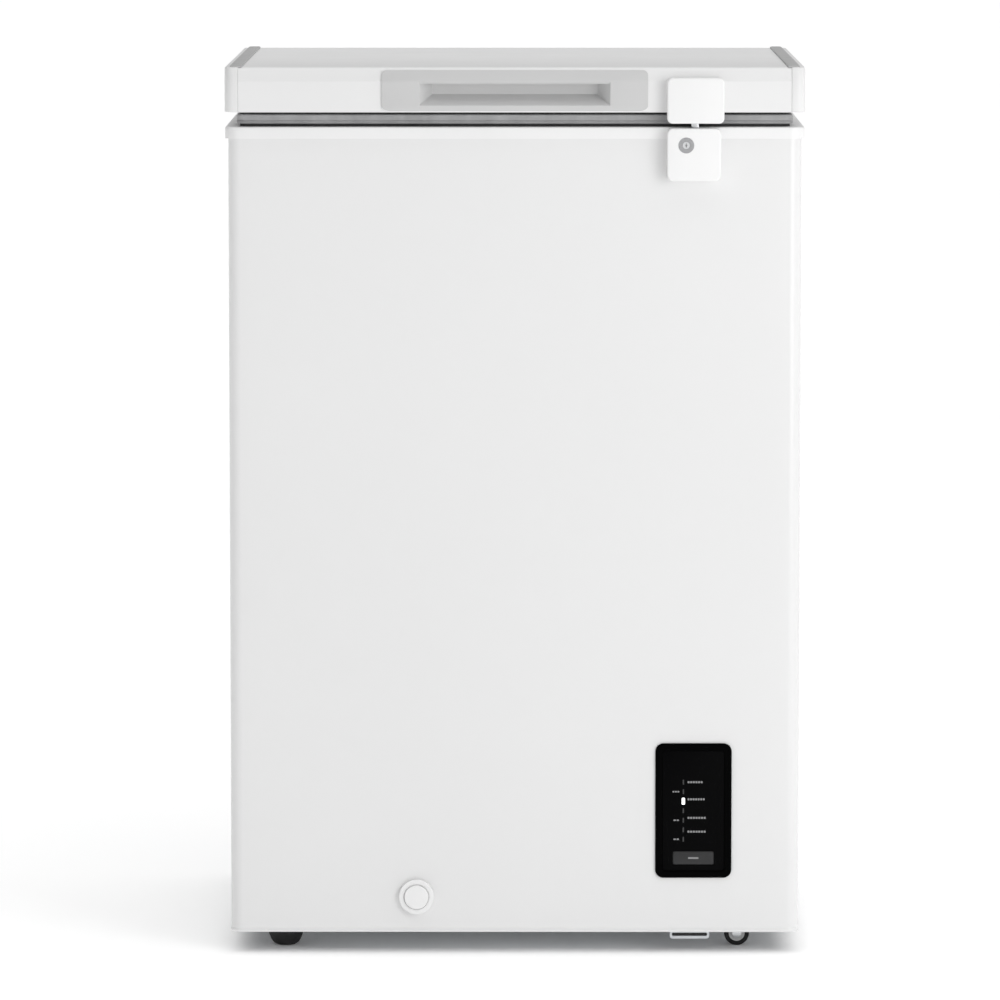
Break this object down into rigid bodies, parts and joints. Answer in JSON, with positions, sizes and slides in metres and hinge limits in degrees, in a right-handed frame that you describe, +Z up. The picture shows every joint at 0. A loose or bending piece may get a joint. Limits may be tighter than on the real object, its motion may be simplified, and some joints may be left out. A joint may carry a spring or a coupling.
{
  "type": "chest freezer",
  "caption": "Compact white chest freezer with a hinged top lid, grey pull handle, key lock, front control panel, drain cap and levelling feet",
  "frame": {"origin": "on the floor under the middle of the freezer's overall box", "axes": "+Z up, +X to the right seen from the front, the front and its lock and panel face -Y"},
  "size_m": [0.55, 0.5, 0.85],
  "materials": {
    "cabinet_paint": "gloss",
    "plain_steel": "satin",
    "liner": "gloss",
    "foam": "matte",
    "collar": "satin",
    "grey_trim": "satin",
    "handle_grey": "satin",
    "gasket": "matte",
    "coil_aluminium": "satin",
    "copper": "satin",
    "compressor_black": "satin",
    "zinc_steel": "satin",
    "spring_steel": "satin",
    "lock_metal": "satin",
    "hinge_white": "satin",
    "rubber_black": "matte",
    "tyre_black": "matte",
    "hub_grey": "satin",
    "black_plastic": "matte",
    "grille_grey": "satin",
    "panel_black": "gloss",
    "window_black": "gloss",
    "button_grey": "satin",
    "lamps": "satin",
    "board_green": "satin",
    "drain_white": "satin",
    "basket_wire": "gloss"
  },
  "bodies": {
    "cabinet": {"outer_cabinet": "cabinet_paint", "back_panel": "plain_steel", "bottom_pan": "plain_steel", "inner_liner": "liner", "cabinet_foam": "foam", "top_collar": "collar", "evaporator_coil": "coil_aluminium", "condenser_coil": "coil_aluminium", "base_plate": "plain_steel", "compressor": "compressor_black", "compressor_grommets": "rubber_black", "compressor_bolts": "zinc_steel", "start_relay": "black_plastic", "filter_drier": "copper", "capillary_tube": "copper", "suction_line": "copper", "discharge_line": "copper", "rear_grille": "grille_grey", "grille_screws": "zinc_steel", "cord_gland": "rubber_black", "foot_sockets": "zinc_steel", "axle_studs": "zinc_steel", "panel_bezel": "panel_black", "panel_window": "window_black", "panel_lamps": "lamps", "panel_board": "board_green", "panel_housing": "black_plastic", "temperature_sensor": "zinc_steel", "drain_tube": "drain_white", "lock_case": "collar", "hinge_bases": "hinge_white", "hinge_pins": "zinc_steel", "hinge_springs": "spring_steel", "hinge_screws": "zinc_steel"},
    "lid": {"lid_skin": "cabinet_paint", "lid_cap_left": "collar", "lid_cap_right": "collar", "trim_strip_left": "grey_trim", "trim_strip_right": "grey_trim", "lid_foam": "foam", "lid_inner_panel": "liner", "lid_gasket": "gasket", "handle_insert": "handle_grey", "lock_keeper": "collar", "lock_tongue": "zinc_steel", "keeper_screws": "zinc_steel", "hinge_leaves": "hinge_white", "leaf_screws": "zinc_steel"},
    "lock_barrel": {"lock_barrel": "lock_metal"},
    "mode_button": {"mode_button": "button_grey"},
    "drain_cap": {"drain_cap": "collar"},
    "drain_plug": {"drain_plug": "drain_white"},
    "basket": {"basket": "basket_wire"},
    "wheel_front": {"wheel_front_hub": "hub_grey", "wheel_front_tyre": "tyre_black"},
    "wheel_rear": {"wheel_rear_hub": "hub_grey", "wheel_rear_tyre": "tyre_black"},
    "foot_front": {"foot_front": "rubber_black"},
    "foot_rear": {"foot_rear": "rubber_black"}
  },
  "joints": [
    {"name": "lid_hinge", "type": "hinge", "parent": "cabinet", "child": "lid", "pos_m": [0, 0.2435, 0.799], "axis": [-1, 0, 0], "range_deg": [0, 80], "stiffness_Nm_per_rad": 2.6, "springref_deg": 106.57},
    {"name": "lock_turn", "type": "hinge", "parent": "cabinet", "child": "lock_barrel", "pos_m": [0.162, -0.243, 0.7755], "axis": [0, 1, 0], "range_deg": [0, 90]},
    {"name": "mode_button_press", "type": "slide", "parent": "cabinet", "child": "mode_button", "axis": [0, 1, 0], "range_m": [0, 0.0012], "stiffness_N_per_m": 300},
    {"name": "drain_cap_pull", "type": "slide", "parent": "cabinet", "child": "drain_cap", "axis": [0, -1, 0], "range_m": [0, 0.022]},
    {"name": "drain_plug_lift", "type": "slide", "parent": "cabinet", "child": "drain_plug", "axis": [0, 0, 1], "range_m": [0, 0.03]},
    {"name": "basket_slide", "type": "slide", "parent": "cabinet", "child": "basket", "axis": [1, 0, 0], "range_m": [0, 0.2225]},
    {"name": "wheel_front_spin", "type": "hinge", "parent": "cabinet", "child": "wheel_front", "pos_m": [0.2142, -0.185, 0.012], "axis": [0, 1, 0], "continuous": true},
    {"name": "wheel_rear_spin", "type": "hinge", "parent": "cabinet", "child": "wheel_rear", "pos_m": [0.2142, 0.185, 0.012], "axis": [0, 1, 0], "continuous": true},
    {"name": "foot_front_turn", "type": "hinge", "parent": "cabinet", "child": "foot_front", "pos_m": [-0.221, -0.183, 0], "axis": [0, 0, 1], "continuous": true},
    {"name": "foot_rear_turn", "type": "hinge", "parent": "cabinet", "child": "foot_rear", "pos_m": [-0.221, 0.183, 0], "axis": [0, 0, 1], "continuous": true}
  ]
}
